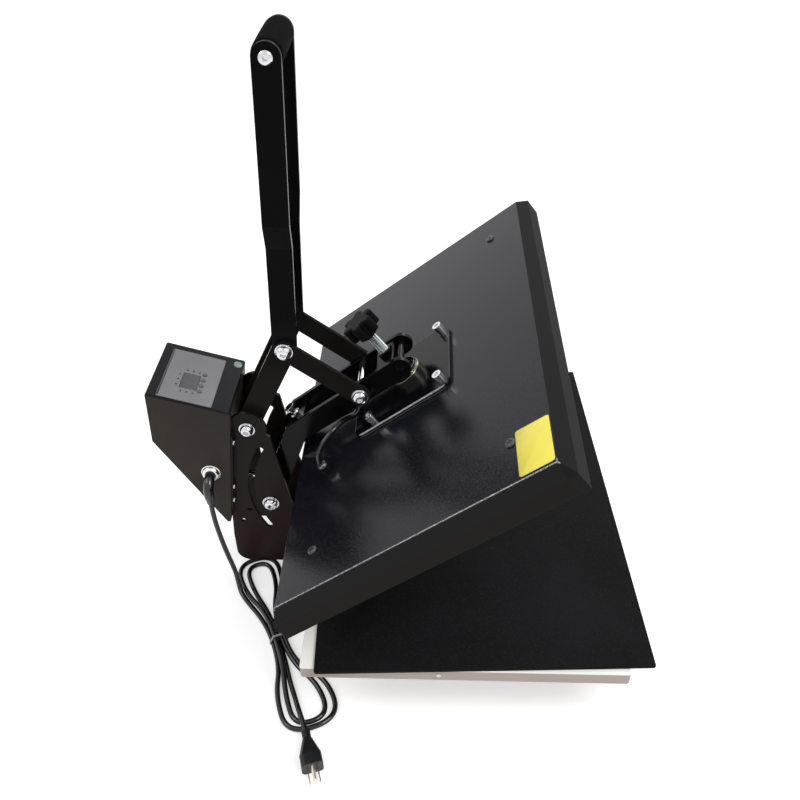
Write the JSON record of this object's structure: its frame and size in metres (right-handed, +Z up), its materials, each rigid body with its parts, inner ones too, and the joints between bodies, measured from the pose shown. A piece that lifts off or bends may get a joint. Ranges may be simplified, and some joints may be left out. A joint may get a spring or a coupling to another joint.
{
  "type": "clamshell heat press",
  "caption": "Clamshell heat press: tilting heated platen over a padded board, pulled down by a toggle handle, with a control box, keys, pressure screw and tied mains cord.",
  "frame": {"origin": "on the surface under the feet, at the middle of the press's width and depth without its cord", "axes": "+X to the user's right, -Y towards the user, +Z up"},
  "size_m": [0.7066, 0.6443, 0.7605],
  "materials": {
    "frame_paint": "satin powder coat",
    "platen_paint": "semi-gloss powder coat",
    "box_paint": "satin powder coat",
    "arm_steel": "satin",
    "lever_paint": "satin black",
    "bright_steel": "polished",
    "plain_steel": "zinc plated",
    "board_laminate": "light laminate over board",
    "mat_silicone": "matte",
    "black_rubber": "matte",
    "black_plastic": "matte",
    "label_film": "satin film",
    "display_glass": "clear",
    "key_plastic": "matte",
    "circuit_board": "lacquered",
    "transformer_core": "varnished",
    "heater_alloy": "ground",
    "insulation_wool": "felted",
    "cord_rubber": "satin",
    "prong_brass": "polished",
    "tie_plastic": "matte"
  },
  "bodies": {
    "base": {"base_rail_left": "frame_paint", "base_rail_right": "frame_paint", "rear_cross_bar": "frame_paint", "front_cross_bar": "frame_paint", "base_legs": "frame_paint", "feet_and_end_caps": "black_rubber", "frame_screws": "plain_steel", "lower_board": "board_laminate", "silicone_mat": "mat_silicone", "side_plate_left": "frame_paint", "side_plate_right": "frame_paint", "pivot_bolts": "bright_steel", "pivot_nuts_and_spacers": "plain_steel", "box_shell": "box_paint", "box_cover": "box_paint", "box_screws": "plain_steel", "panel_label": "label_film", "display_window": "display_glass", "control_board": "circuit_board", "transformer": "transformer_core", "relay_and_terminals": "black_plastic", "switch_frame": "black_plastic", "cable_reliefs": "black_rubber", "power_cord": "cord_rubber", "cord_hank": "cord_rubber", "cord_tie": "tie_plastic", "plug_body": "black_rubber", "plug_prongs": "prong_brass", "heater_lead_lower": "cord_rubber"},
    "arm": {"arm_left": "arm_steel", "arm_right": "arm_steel", "arm_rods": "bright_steel", "arm_bridges": "arm_steel", "arm_stop_and_nuts": "plain_steel", "heater_lead_upper": "cord_rubber"},
    "platen": {"platen_cover": "platen_paint", "heating_plate": "heater_alloy", "heater_element": "plain_steel", "insulation_blanket": "insulation_wool", "platen_standoffs": "plain_steel", "platen_sensors": "plain_steel", "mount_plate": "arm_steel", "thrust_cup": "plain_steel", "platen_screws": "bright_steel", "platen_cable_gland": "plain_steel"},
    "screw": {"pressure_screw": "plain_steel", "pressure_knob": "black_plastic"},
    "lever": {"lever_plate_left": "lever_paint", "lever_plate_right": "lever_paint", "lever_bolts": "bright_steel", "lever_tubes": "plain_steel", "foam_grip": "black_rubber"},
    "link": {"front_link_left": "lever_paint", "front_link_right": "lever_paint", "link_bolts_and_spacers": "bright_steel"},
    "key_1": {"panel_key_1": "key_plastic"},
    "key_2": {"panel_key_2": "key_plastic"},
    "key_3": {"panel_key_3": "key_plastic"},
    "key_4": {"panel_key_4": "key_plastic"},
    "rocker": {"rocker": "black_plastic"}
  },
  "joints": [
    {"name": "arm_hinge", "type": "hinge", "parent": "base", "child": "arm", "pos_m": [0, 0.1772, 0.1295], "axis": [1, 0, 0], "range_deg": [0, 37.5]},
    {"name": "lever_hinge", "type": "hinge", "parent": "base", "child": "lever", "pos_m": [0, 0.1952, 0.2645], "axis": [1, 0, 0], "range_deg": [0, 71.42]},
    {"name": "link_hinge", "type": "hinge", "parent": "lever", "child": "link", "pos_m": [0, 0.1352, 0.386], "axis": [1, 0, 0], "range_deg": [-82.75, 0]},
    {"name": "platen_slide", "type": "slide", "parent": "arm", "child": "platen", "axis": [0, -0.6088, -0.7934], "range_m": [0, 0.0085]},
    {"name": "knob_turn", "type": "hinge", "parent": "platen", "child": "screw", "pos_m": [0, -0.0213, 0.3156], "axis": [0, -0.6088, -0.7934], "range_deg": [0, 1531]},
    {"name": "key_1_press", "type": "slide", "parent": "base", "child": "key_1", "axis": [0, 0.2824, -0.9593], "range_m": [0, 0.0008], "stiffness_N_per_m": 400, "springref_m": -0.0004},
    {"name": "key_2_press", "type": "slide", "parent": "base", "child": "key_2", "axis": [0, 0.2824, -0.9593], "range_m": [0, 0.0008], "stiffness_N_per_m": 400, "springref_m": -0.0004},
    {"name": "key_3_press", "type": "slide", "parent": "base", "child": "key_3", "axis": [0, 0.2824, -0.9593], "range_m": [0, 0.0008], "stiffness_N_per_m": 400, "springref_m": -0.0004},
    {"name": "key_4_press", "type": "slide", "parent": "base", "child": "key_4", "axis": [0, 0.2824, -0.9593], "range_m": [0, 0.0008], "stiffness_N_per_m": 400, "springref_m": -0.0004},
    {"name": "rocker_turn", "type": "hinge", "parent": "base", "child": "rocker", "pos_m": [0.054, 0.2862, 0.29], "axis": [0, 1, 0], "range_deg": [-14, 0]}
  ],
  "couplings": [
    {"joint": "lever_hinge", "follows": "arm_hinge", "ratio": 1.9044},
    {"joint": "link_hinge", "follows": "arm_hinge", "ratio": -2.2065},
    {"joint": "knob_turn", "follows": "platen_slide", "rad_per_m": 3141.6}
  ]
}
